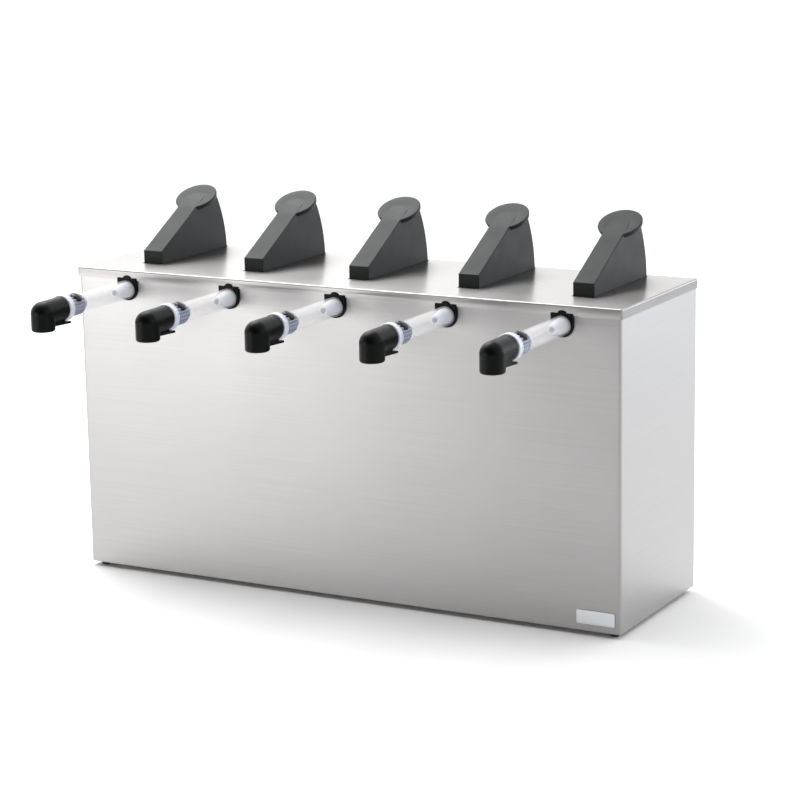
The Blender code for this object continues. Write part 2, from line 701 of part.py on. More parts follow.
def build_pumps(lid_axis):
    """Each kind of pump piece is shaped once, then placed for every pump."""
    button_foot = (BUTTON_FOOT * math.sin(BUTTON_ROLL), BUTTON_Y,
                   FLOW_Z + BUTTON_FOOT * math.cos(BUTTON_ROLL))
    kinds = (
        ("pump_body", pump_body, pump_plastic, None),
        ("front_collar", front_collar, black_plastic, None),
        ("discharge_tube", discharge_tube, clear_plastic, None),
        ("lock_collar", lock_collar, pale_plastic, None),
        ("lock_button", lock_button, black_plastic, button_foot),
        ("nozzle", nozzle, black_plastic, None),
        ("lever", lever, lever_plastic, (0, PIVOT_Y, PIVOT_Z)),
        ("lever_pin", lever_pin, pin_steel, None),
        ("plunger", plunger, pump_plastic, (0, PLUNGER_Y, HEAD_TOP_Z)),
        ("return_spring", return_spring, pin_steel, (0, PLUNGER_Y, CHAMBER_FLOOR_Z)),
    )
    for kind, shape_of, finish, axis in kinds:
        pattern = applied(shape_of(), kind)
        mesh = pattern.data
        bpy.data.objects.remove(pattern, do_unlink=True)
        for n, x in enumerate(pump_places(), start=1):
            made = copy(f"{kind}_{n}", mesh, finish, lid_axis)
            origin = Vector((x, LID_FRONT, LID_TOP)) - lid_axis.location
            if axis:
                made.parent = axis_empty(f"{kind}_{n}_axis", origin + Vector(axis), lid_axis)
                made.location = -Vector(axis)
            else:
                made.location = origin


clear_scene()
model = new_collection("condiment_pump_dispenser")
guides = new_collection("cutters")

steel = material("brushed_steel", (0.70, 0.69, 0.68), 0.28, 1.0)
plate_metal = material("nameplate_metal", (0.62, 0.63, 0.64), 0.35, 1.0)
pin_steel = material("bright_steel", (0.72, 0.72, 0.73), 0.22, 1.0)
rubber = material("foot_rubber", (0.04, 0.04, 0.04), 0.75)
lever_plastic = material("lever_plastic", (0.055, 0.058, 0.058), 0.42)
black_plastic = material("black_plastic", (0.012, 0.014, 0.013), 0.35)
pump_plastic = material("pump_plastic", (0.80, 0.82, 0.84), 0.40)
pale_plastic = material("pale_plastic", (0.72, 0.78, 0.86), 0.30)
clear_plastic = material("clear_plastic", (0.90, 0.92, 0.93), 0.05, 0.0, 0.45, 0.8)

build_cabinet()
lid_empty = axis_empty("lid_lift_axis", (0, LID_FRONT + LID_DEPTH / 2, LID_TOP))
lid_piece = node("lid", lid(), steel, lid_empty)
lid_piece.location = -lid_empty.location
build_pumps(lid_empty)
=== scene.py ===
"""Looks of the condiment pump station: fine pieces, materials, light and camera.

Pieces are drawn in metres.  Those of the cabinet and the lid are in the object's own frame.
Those of a pump are drawn once in pump space, whose origin is on the pump's centre plane, at the
lid's front edge and on the lid's top face, and are then copied to all five pumps.
"""
import math

import bmesh
import bpy
from mathutils import Matrix, Vector


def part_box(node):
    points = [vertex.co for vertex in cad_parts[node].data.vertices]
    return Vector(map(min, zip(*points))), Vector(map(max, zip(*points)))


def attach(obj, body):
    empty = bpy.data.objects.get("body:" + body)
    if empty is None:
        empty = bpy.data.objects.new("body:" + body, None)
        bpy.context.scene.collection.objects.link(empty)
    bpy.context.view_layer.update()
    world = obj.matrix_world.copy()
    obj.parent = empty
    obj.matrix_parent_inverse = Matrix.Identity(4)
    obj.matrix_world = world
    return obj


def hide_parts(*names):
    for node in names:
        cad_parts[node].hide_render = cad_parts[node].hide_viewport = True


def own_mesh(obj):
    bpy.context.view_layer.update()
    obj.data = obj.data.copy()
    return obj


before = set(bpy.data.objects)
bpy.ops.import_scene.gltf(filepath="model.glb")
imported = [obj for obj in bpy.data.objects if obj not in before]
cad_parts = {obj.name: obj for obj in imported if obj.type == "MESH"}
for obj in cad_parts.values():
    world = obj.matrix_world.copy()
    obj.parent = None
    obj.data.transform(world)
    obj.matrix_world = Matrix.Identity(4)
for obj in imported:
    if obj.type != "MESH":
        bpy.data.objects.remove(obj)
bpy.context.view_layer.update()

# Places and sizes that the frame gives
LID_LOW, LID_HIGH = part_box("lid")
WRAP_LOW, WRAP_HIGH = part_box("cabinet_wrap")
PLATE_LOW, PLATE_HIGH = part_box("nameplate")
PUMPS = range(1, 6)
PUMP_X = {n: sum(corner.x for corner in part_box(f"nozzle_{n}")) / 2 for n in PUMPS}
ORIGIN = Vector((0, LID_LOW.y, LID_HIGH.z))
FEET = ("foot_front_left", "foot_front_right", "foot_rear_left", "foot_rear_right")


def pump_box(kind):
    """The box of one of the middle pump's pieces, in pump space."""
    low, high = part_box(f"{kind}_3")
    return low - ORIGIN, high - ORIGIN


TUBE_LOW, TUBE_HIGH = pump_box("discharge_tube")
COUPLER_LOW, COUPLER_HIGH = pump_box("lock_collar")
NOZZLE_LOW, NOZZLE_HIGH = pump_box("nozzle")
LEVER_HIGH = pump_box("lever")[1]
COLLAR_LOW, COLLAR_HIGH = pump_box("front_collar")
BODY_LOW, BODY_HIGH = pump_box("pump_body")
PLUNGER_LOW, PLUNGER_HIGH = pump_box("plunger")
SPRING_LOW, SPRING_HIGH = pump_box("return_spring")
PIN_LOW, PIN_HIGH = pump_box("lever_pin")

# Sheet metal
SHEET = 0.0012
GAP = 0.0003
INSET = SHEET + GAP
LID_BEND = 0.0019
CORNER_BEND = 0.003
SLOT_HALF = 0.0122
SLOT_Y = (0.046, 0.183)
SLOT_CORNER = 0.003

# Flow line
TUBE_RADIUS = TUBE_HIGH.x
FLOW_Z = TUBE_HIGH.z - TUBE_RADIUS
TUBE_WALL = 0.0017
COLLAR_HALF = 0.01165
COLLAR_TOP_Z = -0.008
HUMP_HALF = 0.0045
HUMP_HEIGHT = 0.0027
RING_RADIUS = COUPLER_HIGH.x
RING_BACK_Y = -0.112
COUPLER_RADIUS = 0.0113
FLUTES = 18
FLUTE_DEPTH = 0.0013
BUTTON_Y = -0.0990
BUTTON_ROLL = math.radians(29.0)
BUTTON_HALF = (0.0066, 0.0061)
BUTTON_TOP = 0.0125
BUTTON_FOOT = 0.0091
POCKET_FLOOR = 0.0074
NOZZLE_SOCKET = 0.0084
COUPLER_BORE = 0.0055
COUPLER_BACK_Y = -0.091
STEM_RADIUS = TUBE_RADIUS - TUBE_WALL - GAP
SPIGOT_TAPER = 0.018
NOZZLE_RADIUS = NOZZLE_HIGH.x
SPOUT_Y = NOZZLE_LOW.y + NOZZLE_RADIUS
SPOUT_BORE = 0.0094
SPOUT_LENGTH = 0.018
SPOUT_EDGE = 0.0022
FLOW_BORE = 0.0055
THROAT_BORE = 0.0053
CATCH_HALF = 0.0065
CATCH_THICKNESS = 0.0024
CATCH_ROOT = 0.0032
CATCH_TIP_Y = -0.1105
CATCH_HOOK_Y = -0.121

# Lever
PIVOT = ((PIN_LOW.y + PIN_HIGH.y) / 2, (PIN_LOW.z + PIN_HIGH.z) / 2)
PIN_RADIUS = (PIN_HIGH.y - PIN_LOW.y) / 2
LUG_RADIUS = 0.006
LEVER_HALF = 0.0115
LEVER_WALL = 0.0022
LEVER_EDGE = 0.0008
LEVER_FRONT = (0.050, 0.0133)
HEM_Z = -0.0035
NECK = (0.1245, 0.0540)
REAR_RADIUS = 0.124
REAR_TOP_ANGLE = math.radians(32.0)
PAD_CENTRE = (0.1378, 0.0607)
PAD_RADIUS = LEVER_HIGH.x
PAD_THICKNESS = 0.005
PAD_DISH = 0.0007
PAD_TILT = math.radians(26.4)
RIB_HALF = 0.0028
RIB_TOP_Z = 0.0470
BOSS_RADIUS = 0.003
LIP = (0.1785, 0.1853)
LIP_HALF = 0.009
LIP_TOP_Z = -0.0017

# Pump
PLUNGER_Y = (PLUNGER_LOW.y + PLUNGER_HIGH.y) / 2
CHAMBER_RADIUS = BODY_HIGH.x
CHAMBER_BORE = 0.0193
CHAMBER_TOP_Z = -0.0435
CHAMBER_FLOOR_Z = -0.0923
CHAMBER_BOTTOM_Z = -0.096
BEAD_HEIGHT = 0.004
BEAD_DEPTH = 0.0008
RISER_Y = 0.068
RISER_RADIUS = 0.008
RISER_BORE = 0.0052
RISER_FOOT_Z = -0.0945
DUCT_Z = -0.087
DUCT_RADIUS = 0.006
INTAKE_BORE = 0.006
SPIGOT_RADIUS = 0.0079
SPIGOT_TIP_RADIUS = 0.0044
SPIGOT_TIP_BORE = 0.0030
SADDLE_Y = (0.0505, 0.0785)
SADDLE_Z = (-0.030, -0.0150)
SADDLE_HALF = 0.0153
EAR_SIDES = (0.0123, 0.0163)
EAR_Y = (0.048, 0.100, 0.132)
EAR_FOOT_Z = (-0.029, -0.052)
SPRING_RADIUS = 0.014
SPRING_WIRE = 0.0008

TINY = 1e-7
PLANES = {
    "side": lambda u, v, w: Vector((w, u, v)),
    "front": lambda u, v, w: Vector((u, w, v)),
    "plan": lambda u, v, w: Vector((u, v, w)),
}


# Mesh helpers

def piece_from(name, shape):
    bmesh.ops.recalc_face_normals(shape, faces=shape.faces)
    mesh = bpy.data.meshes.new(name)
    shape.to_mesh(mesh)
    shape.free()
    made = bpy.data.objects.new(name, mesh)
    bpy.context.scene.collection.objects.link(made)
    return made


def baked(piece):
    """Apply a piece's modifiers to its mesh."""
    bpy.context.view_layer.update()
    depsgraph = bpy.context.evaluated_depsgraph_get()
    mesh = bpy.data.meshes.new_from_object(piece.evaluated_get(depsgraph))
    piece.modifiers.clear()
    old = piece.data
    piece.data = mesh
    bpy.data.meshes.remove(old)
    return piece


def boolean(base, operation, *tools):
    for tool in tools:
        step = base.modifiers.new(operation, "BOOLEAN")
        step.operation = operation
        step.object = tool
    baked(base)
    for tool in tools:
        bpy.data.objects.remove(tool, do_unlink=True)
    return base


def arc(centre, radius, first, last, steps):
    """Points on a circle from angle first to angle last."""
    return [Vector((centre[0] + radius * math.cos(first + (last - first) * i / steps),
                    centre[1] + radius * math.sin(first + (last - first) * i / steps)))
            for i in range(steps + 1)]


def rounded(outline, size, closed=True, steps=4):
    """An outline with each corner turned into an arc; size is one radius or one for each."""
    sizes = size if isinstance(size, (list, tuple)) else [size] * len(outline)
    result = []
    for i, point in enumerate(outline):
        here = Vector(point)
        at_end = not closed and i in (0, len(outline) - 1)
        if at_end or sizes[i] < TINY:
            result.append(here)
            continue
        before = Vector(outline[i - 1]) - here
        after = Vector(outline[(i + 1) % len(outline)]) - here
        half = before.angle(after) / 2
        reach = min(sizes[i] / math.tan(half), 0.49 * before.length, 0.49 * after.length)
        before.normalize()
        after.normalize()
        radius = reach * math.tan(half)
        centre = here + (before + after).normalized() * (radius / math.sin(half))
        start, end = here + before * reach - centre, here + after * reach - centre
        for k in range(steps + 1):
            result.append(centre + start.lerp(end, k / steps).normalized() * radius)
    return result


def box_outline(low, high):
    return [(low[0], low[1]), (high[0], low[1]), (high[0], high[1]), (low[0], high[1])]


def prism(name, outline, low, high, plane, edge=0.0, steps=3):
    """An outline thickened from low to high, with the rims of both ends rounded."""
    shape = bmesh.new()
    ends = [[shape.verts.new(PLANES[plane](u, v, w)) for u, v in outline] for w in (low, high)]
    shape.faces.new(ends[0])
    shape.faces.new(ends[1])
    for i in range(len(outline)):
        j = (i + 1) % len(outline)
        shape.faces.new((ends[0][i], ends[0][j], ends[1][j], ends[1][i]))
    bmesh.ops.recalc_face_normals(shape, faces=shape.faces)
    if edge:
        sharp = [e for e in shape.edges if e.calc_face_angle(0) > math.radians(40)]
        bmesh.ops.bevel(shape, geom=sharp, offset=edge, segments=steps, profile=0.5,
                        affect="EDGES", clamp_overlap=True)
    return piece_from(name, shape)


def lathe(name, outline, place, direction, sides=48, wave=None):
    """Spin a (radius, distance) outline about the line from place along direction."""
    shape = bmesh.new()
    turn = Vector(direction).to_track_quat("Z", "Y").to_matrix().to_4x4()
    where = Matrix.Translation(place) @ turn
    rings = []
    for radius, along in outline:
        count = 1 if radius < TINY else sides
        ring = []
        for i in range(count):
            a = 2 * math.pi * i / sides
            out = radius + (wave(radius, along, a) if wave else 0)
            ring.append(shape.verts.new(
                where @ Vector((out * math.cos(a), out * math.sin(a), along))))
        rings.append(ring)
    hollow = len(rings[0]) > 1
    for one, two in zip(rings, rings[1:] + (rings[:1] if hollow else [])):
        for i in range(sides):
            j = (i + 1) % sides
            corners = (one[i % len(one)], one[j % len(one)], two[j % len(two)], two[i % len(two)])
            shape.faces.new(dict.fromkeys(corners))
    return piece_from(name, shape)


def rod(name, start, end, radius, sides=32):
    along = Vector(end) - Vector(start)
    outline = [(0, along.length), (radius, along.length), (radius, 0), (0, 0)]
    return lathe(name, outline, start, along, sides)


def tray(name, low, high, open_faces, bend, steps=5):
    """A folded sheet: a box without its open faces, its folds rounded, thickened inwards."""
    shape = bmesh.new()
    size, middle = high - low, (high + low) / 2
    bmesh.ops.create_cube(shape, size=1.0,
                          matrix=Matrix.Translation(middle) @ Matrix.Diagonal((*size, 1.0)))
    shape.normal_update()
    gone = [f for f in shape.faces if any(f.normal.dot(Vector(n)) > 0.9 for n in open_faces)]
    bmesh.ops.delete(shape, geom=gone, context="FACES")
    folds = [e for e in shape.edges if len(e.link_faces) == 2]
    bmesh.ops.bevel(shape, geom=folds, offset=bend, segments=steps, profile=0.5, affect="EDGES")
    return thicken(piece_from(name, shape))


def thicken(sheet):
    solid = sheet.modifiers.new("sheet", "SOLIDIFY")
    solid.thickness = SHEET
    solid.offset = -1
    solid.use_even_offset = True
    return baked(sheet)


def shaded(piece, material, angle=32):
    piece.data.materials.clear()
    piece.data.materials.append(material)
    piece.data.shade_smooth()
    piece.data.set_sharp_from_angle(angle=math.radians(angle))
    flat = piece.modifiers.new("flat faces", "WEIGHTED_NORMAL")
    flat.keep_sharp = True
    return baked(piece)


def put(piece, material, slot, body, *nodes, angle=32):
    """Finish a piece: material, the body that it rides on and the CAD nodes it stands for."""
    shaded(piece, material, angle)
    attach(piece, body)
    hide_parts(*nodes)


def put_on_pumps(pattern, label, material, body, node, angle=32):
    """Copy a piece drawn in pump space to every pump."""
    shaded(pattern, material, angle)
    for n in PUMPS:
        copy = bpy.data.objects.new(f"{label}_{n}", pattern.data)
        bpy.context.scene.collection.objects.link(copy)
        copy.location = ORIGIN + Vector((PUMP_X[n], 0, 0))
        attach(copy, body.format(n))
        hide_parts(f"{node}_{n}")
    bpy.data.objects.remove(pattern, do_unlink=True)


# Materials

class Finish:
    """A Principled material with helpers for the nodes that give it its detail."""

    def __init__(self, name, colour, roughness, **sockets):
        self.material = bpy.data.materials.new(name)
        self.material.use_nodes = True
        self.tree = self.material.node_tree
        self.shader = self.tree.nodes["Principled BSDF"]
        self.shader.inputs["Base Color"].default_value = (*colour, 1.0)
        self.shader.inputs["Roughness"].default_value = roughness
        for label, value in sockets.items():
            self.shader.inputs[label.replace("_", " ")].default_value = value
        self.colour, self.roughness = colour, roughness
        self.place = self.tree.nodes.new("ShaderNodeTexCoord").outputs["Object"]

    def noise(self, scale, detail=3.0, stretch=(1, 1, 1)):
        """Noise of that many cells per metre, finer along the axes with a larger stretch."""
        mapping = self.tree.nodes.new("ShaderNodeMapping")
        mapping.inputs["Scale"].default_value = [scale * s for s in stretch]
        self.tree.links.new(self.place, mapping.inputs["Vector"])
        texture = self.tree.nodes.new("ShaderNodeTexNoise")
        texture.inputs["Scale"].default_value = 1.0
        texture.inputs["Detail"].default_value = detail
        self.tree.links.new(mapping.outputs["Vector"], texture.inputs["Vector"])
        return texture.outputs["Fac"]

    def spread(self, source, low, high):
        """Map noise around one half to the range from low to high."""
        node = self.tree.nodes.new("ShaderNodeMapRange")
        node.inputs["From Min"].default_value = 0.3
        node.inputs["From Max"].default_value = 0.7
        node.inputs["To Min"].default_value = low
        node.inputs["To Max"].default_value = high
        self.tree.links.new(source, node.inputs["Value"])
        return node.outputs["Result"]

    def vary_roughness(self, source, amount):
        self.tree.links.new(self.spread(source, self.roughness - amount, self.roughness + amount),
                            self.shader.inputs["Roughness"])

    def vary_colour(self, source, amount):
        mix = self.tree.nodes.new("ShaderNodeMix")
        mix.data_type = "RGBA"
        mix.inputs["A"].default_value = (*[c * (1 - amount) for c in self.colour], 1)
        mix.inputs["B"].default_value = (*[min(1, c * (1 + amount)) for c in self.colour], 1)
        self.tree.links.new(self.spread(source, 0, 1), mix.inputs["Factor"])
        self.tree.links.new(mix.outputs["Result"], self.shader.inputs["Base Color"])

    def bump(self, source, height, strength):
        node = self.tree.nodes.new("ShaderNodeBump")
        node.inputs["Distance"].default_value = height
        node.inputs["Strength"].default_value = strength
        self.tree.links.new(source, node.inputs["Height"])
        self.tree.links.new(node.outputs["Normal"], self.shader.inputs["Normal"])


def brushed(name, colour, roughness, grain, anisotropic, round_axis="Z"):
    """Brushed sheet: fine scratches, faint smears, highlights drawn out round an axis."""
    finish = Finish(name, colour, roughness, Metallic=1.0, Anisotropic=anisotropic,
                    Anisotropic_Rotation=0.25)
    along = finish.tree.nodes.new("ShaderNodeTangent")
    along.direction_type = "RADIAL"
    along.axis = round_axis
    finish.tree.links.new(along.outputs["Tangent"], finish.shader.inputs["Tangent"])
    scratches = finish.noise(1.0, 2.0, grain)
    finish.vary_roughness(finish.noise(9.0, 4.0), 0.03)
    finish.vary_colour(scratches, 0.035)
    finish.bump(scratches, 0.00001, 0.35)
    return finish.material


def moulded(name, colour, roughness, grain=2600.0, height=0.00003, **sockets):
    """Moulded plastic: fine spark-eroded grain, uneven gloss, a trace of colour drift."""
    finish = Finish(name, colour, roughness, **sockets)
    finish.vary_roughness(finish.noise(60.0, 4.0), 0.04)
    finish.vary_colour(finish.noise(35.0, 3.0), 0.05)
    finish.bump(finish.noise(grain, 2.0), height, 0.5)
    return finish.material


def make_materials():
    return {
        "panel": brushed("brushed_panel_steel", (0.355, 0.347, 0.345), 0.34, (6, 6, 1400), 0.6),
        "lid": brushed("brushed_lid_steel", (0.305, 0.298, 0.295), 0.30, (6, 1400, 1400),
                       0.75, "Y"),
        "plate": brushed("satin_plate_metal", (0.66, 0.68, 0.71), 0.36, (6, 6, 2200), 0.2),
        "steel": brushed("bright_drawn_steel", (0.72, 0.72, 0.73), 0.20, (1800, 1800, 60), 0.0),
        "rubber": moulded("foot_rubber_grain", (0.035, 0.035, 0.036), 0.72, 1500.0, 0.0001),
        "lever": moulded("satin_charcoal_plastic", (0.030, 0.032, 0.032), 0.42,
                         Specular_IOR_Level=0.10),
        "black": moulded("black_moulded_plastic", (0.0010, 0.0016, 0.0016), 0.34,
                         Specular_IOR_Level=0.10),
        "button": moulded("gloss_black_plastic", (0.002, 0.002, 0.003), 0.16,
                          Specular_IOR_Level=0.25),
        "pump": moulded("natural_white_plastic", (0.70, 0.76, 0.84), 0.38,
                        Subsurface_Weight=0.25, Subsurface_Scale=0.002),
        "ring": moulded("translucent_ring_plastic", (0.60, 0.64, 0.72), 0.28,
                        Subsurface_Weight=0.3, Subsurface_Scale=0.002),
        "barrel": moulded("translucent_barrel_plastic", (0.22, 0.25, 0.33), 0.30),
        "clear": moulded("clear_tube_plastic", (0.80, 0.80, 0.81), 0.10, 300.0, 0.00002,
                         Alpha=0.28),
    }


# Cabinet

def collar_outline(grow, steps=12):
    """The collar's U with its little arch on top, grown by a margin all round."""
    half, top, hump = COLLAR_HALF + grow, COLLAR_TOP_Z + grow, HUMP_HALF + grow
    outline = arc((0, FLOW_Z), half, math.pi, 2 * math.pi, 2 * steps)
    outline.append(Vector((half, top)))
    outline += [Vector((hump * math.cos(a), top + HUMP_HEIGHT * math.sin(a)))
                for a in (math.pi * i / steps for i in range(steps + 1))]
    outline.append(Vector((-half, top)))
    return outline


def cabinet_wrap():
    """Front and both sides in one bent sheet, open at the top for each collar."""
    r = CORNER_BEND
    low, high = WRAP_LOW, WRAP_HIGH
    path = [Vector((low.x, high.y))]
    path += arc((low.x + r, low.y + r), r, math.pi, 1.5 * math.pi, 8)
    path += arc((high.x - r, low.y + r), r, 1.5 * math.pi, 2 * math.pi, 8)
    path.append(Vector((high.x, high.y)))
    shape = bmesh.new()
    rails = [[shape.verts.new((x, y, z)) for x, y in path] for z in (low.z, high.z)]
    for i in range(len(path) - 1):
        shape.faces.new((rails[0][i], rails[0][i + 1], rails[1][i + 1], rails[1][i]))
    wrap = thicken(piece_from("cabinet_shell", shape))
    cutters = []
    half = COLLAR_HALF + GAP
    for n in PUMPS:
        outline = [Vector((PUMP_X[n], LID_HIGH.z)) + p
                   for p in arc((0, FLOW_Z), half, math.pi, 2 * math.pi, 24)
                   + [Vector((half, 0)), Vector((-half, 0))]]
        cutters.append(prism("notch", outline, low.y - 0.01, low.y + 0.01, "front"))
    return boolean(wrap, "DIFFERENCE", *cutters)


def lid_cover():
    """The lid with its lever slots and the notches in its skirt."""
    cover = tray("lid_cover", LID_LOW, LID_HIGH, ((0, 0, -1),), LID_BEND)
    cutters = []
    for n in PUMPS:
        x, y = PUMP_X[n], LID_LOW.y
        slot = rounded(box_outline((x - SLOT_HALF, y + SLOT_Y[0]), (x + SLOT_HALF, y + SLOT_Y[1])),
                       SLOT_CORNER, steps=6)
        cutters.append(prism("slot", slot, LID_HIGH.z - 0.005, LID_HIGH.z + 0.005, "plan"))
        notch = [Vector((x, LID_HIGH.z)) + p for p in collar_outline(GAP)]
        cutters.append(prism("skirt notch", notch, y - 0.01, y + 0.01, "front"))
    return boolean(cover, "DIFFERENCE", *cutters)


def nameplate():
    """A blank plate: a bevelled border round a recessed field."""
    border, field = 0.0011, 0.0003
    low, high = PLATE_LOW, PLATE_HIGH
    outline = rounded(box_outline((low.x, low.z), (high.x, high.z)), 0.0015, steps=6)
    plate = prism("blank_nameplate", outline, low.y, high.y, "front", 0.00025)
    inner = rounded(box_outline((low.x + border, low.z + border),
                                (high.x - border, high.z - border)), 0.0009, steps=5)
    return boolean(plate, "DIFFERENCE",
                   prism("field", inner, low.y - 0.001, low.y + field, "front"))


def foot(node):
    low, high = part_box(node)
    radius, height = (high.x - low.x) / 2, high.z - low.z
    outline = rounded([(0, height), (radius, height), (radius, height * 0.8),
                       (radius * 0.88, 0), (0, 0)], 0.0005, closed=False)
    return lathe("rubber_" + node, outline, ((low.x + high.x) / 2, (low.y + high.y) / 2, low.z),
                 (0, 0, 1), 40)


def make_cabinet(looks):
    put(cabinet_wrap(), looks["panel"], "brushed_steel", "cabinet", "cabinet_wrap")
    put(lid_cover(), looks["lid"], "brushed_steel", "lid", "lid")
    put(nameplate(), looks["plate"], "nameplate_metal", "cabinet", "nameplate")
    for node in FEET:
        put(foot(node), looks["rubber"], "foot_rubber", "cabinet", node)
    for node in ("back_panel", "base_pan"):
        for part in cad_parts[node].material_slots:
            part.material = looks["panel"]


# Flow line of a pump

def collar_bush():
    """Bush round the tube, with a flange behind the panel."""
    bush = prism("bush", collar_outline(0), COLLAR_LOW.y, COLLAR_HIGH.y, "front", 0.0005)
    half = COLLAR_HIGH.x
    flange_top = COLLAR_TOP_Z + 0.002
    wide = arc((0, FLOW_Z), half, math.pi, 2 * math.pi, 24)
    wide += [Vector((half, flange_top)), Vector((-half, flange_top))]
    start = INSET + SHEET + GAP
    flange = prism("flange", wide, start, start + 0.0026, "front", 0.0004)
    bore = rod("bore", (0, -0.02, FLOW_Z), (0, 0.02, FLOW_Z), TUBE_RADIUS + GAP, 48)
    boolean(bush, "UNION", flange)
    return boolean(bush, "DIFFERENCE", bore)


def clear_tube():
    length = TUBE_HIGH.y - TUBE_LOW.y
    bore = TUBE_RADIUS - TUBE_WALL
    outline = rounded([(TUBE_RADIUS, length), (TUBE_RADIUS, 0), (bore, 0), (bore, length)],
                      0.0004, steps=3)
    return lathe("tube", outline, (0, TUBE_HIGH.y, FLOW_Z), (0, -1, 0), 64)


def on_button_side(piece):
    """Turn a piece that stands above the flow line about it, to where the button is."""
    centre = Vector((0, 0, FLOW_Z))
    turn = Matrix.Rotation(BUTTON_ROLL, 4, "Y")
    piece.data.transform(Matrix.Translation(centre) @ turn @ Matrix.Translation(-centre))
    return piece


def oval(piece):
    ratio = BUTTON_HALF[1] / BUTTON_HALF[0]
    centre = Vector((0, BUTTON_Y, 0))
    squeeze = Matrix.Diagonal((1, ratio, 1, 1))
    piece.data.transform(Matrix.Translation(centre) @ squeeze @ Matrix.Translation(-centre))
    return piece


def coupler_barrel():
    """Fluted barrel with a stem inside the tube and the pocket that the button sits in."""
    tip, shoulder = COUPLER_HIGH.y, COUPLER_HIGH.y - COUPLER_BACK_Y
    ring_back = tip - RING_BACK_Y
    end, hidden, steps = ring_back + 0.003, COUPLER_RADIUS - 0.001, 10
    flute_start, flute_end = shoulder + 0.0014, ring_back - 0.0006
    outline = [(hidden, end), (hidden, ring_back + 0.0003)]
    outline += [(COUPLER_RADIUS, flute_end - (flute_end - flute_start) * i / steps)
                for i in range(steps + 1)]
    outline += [(COUPLER_RADIUS - 0.0003, shoulder + 0.0004), (COUPLER_RADIUS - 0.0008, shoulder),
                (STEM_RADIUS, shoulder), (STEM_RADIUS, 0.0015), (STEM_RADIUS - 0.001, 0),
                (COUPLER_BORE, 0), (COUPLER_BORE, end)]

    def flutes(radius, along, angle):
        if radius < COUPLER_RADIUS - TINY or not flute_start < along < flute_end - TINY:
            return 0
        wave = 0.5 - 0.5 * math.cos(FLUTES * angle)
        return -FLUTE_DEPTH * wave ** 2

    barrel = lathe("barrel", outline, (0, tip, FLOW_Z), (0, -1, 0), FLUTES * 8, flutes)
    pocket = rod("pocket", (0, BUTTON_Y, FLOW_Z + POCKET_FLOOR), (0, BUTTON_Y, FLOW_Z + 0.02),
                 BUTTON_HALF[0] + GAP, 40)
    return boolean(barrel, "DIFFERENCE", on_button_side(oval(pocket)))


def coupler_ring():
    """The broad pale ring that the nozzle's cuff meets."""
    length = RING_BACK_Y - COUPLER_LOW.y
    groove = 0.0004
    outline = rounded([(NOZZLE_SOCKET, length), (RING_RADIUS, length),
                       (RING_RADIUS, length * 0.42), (RING_RADIUS - groove, length * 0.35),
                       (RING_RADIUS, length * 0.28), (RING_RADIUS, 0), (NOZZLE_SOCKET, 0)],
                      [0, 0.0009, 0, 0, 0, 0.0009, 0])
    return lathe("ring", outline, (0, RING_BACK_Y, FLOW_Z), (0, -1, 0), 64)


def release_button():
    half, rise = BUTTON_HALF[0], BUTTON_TOP - BUTTON_FOOT
    dome = [(half * math.sin(a), rise * (0.35 + 0.65 * math.cos(a)))
            for a in (math.pi / 2 * i / 8 for i in range(9))]
    cap = lathe("button", dome + [(half, 0), (0, 0)], (0, BUTTON_Y, FLOW_Z + BUTTON_FOOT),
                (0, 0, 1), 40)
    return on_button_side(oval(cap))


def nozzle():
    """Smooth elbow with a catch under its cuff, its spigot behind and its spout below."""
    r = NOZZLE_RADIUS
    back = NOZZLE_HIGH.y
    cuff_back, corner = back - COUPLER_LOW.y + GAP, back - SPOUT_Y
    end = [(r * math.cos(a), corner + r * math.sin(a))
           for a in (math.pi / 2 * (1 - i / 12) for i in range(1, 13))]
    outline = [(0, corner + r)] + end + [
        (r, cuff_back + 0.0006), (r - 0.0006, cuff_back), (NOZZLE_SOCKET - GAP, cuff_back),
        (NOZZLE_SOCKET - GAP, 0), (0, 0)]
    body = lathe("elbow", outline, (0, back, FLOW_Z), (0, -1, 0), 64)
    slim, edge_start = r - 0.00005, SPOUT_LENGTH - SPOUT_EDGE
    tip = arc((r - 0.0001 - SPOUT_EDGE, edge_start), SPOUT_EDGE, 0, math.pi / 2, 6)
    spout = lathe("spout", [(0, 0), (slim, 0), (slim, edge_start), *tip, (0, SPOUT_LENGTH)],
                  (0, SPOUT_Y, FLOW_Z), (0, 0, -1), 64)
    over = FLOW_Z - RING_RADIUS - GAP
    root_y, root_top = SPOUT_Y + r - CATCH_THICKNESS, FLOW_Z - r + CATCH_THICKNESS
    catch = rounded([(root_y, root_top), (root_y, NOZZLE_LOW.z + CATCH_ROOT),
                     (CATCH_TIP_Y, over - CATCH_THICKNESS), (CATCH_TIP_Y, over),
                     (CATCH_HOOK_Y, over), (CATCH_HOOK_Y, root_top)],
                    [0, 0, 0.0009, 0.0009, 0, 0], steps=6)
    fin = prism("catch", catch, -CATCH_HALF, CATCH_HALF, "side", 0.0006)
    boolean(body, "UNION", spout, fin)
    return boolean(body, "DIFFERENCE",
                   rod("flow", (0, back + 0.005, FLOW_Z), (0, SPOUT_Y, FLOW_Z), FLOW_BORE),
                   rod("outlet", (0, SPOUT_Y, FLOW_Z - 0.006), (0, SPOUT_Y, FLOW_Z - 0.025),
                       SPOUT_BORE, 48),
                   rod("throat", (0, SPOUT_Y, FLOW_Z + 0.002), (0, SPOUT_Y, FLOW_Z - 0.010),
                       THROAT_BORE))


# Lever and pump

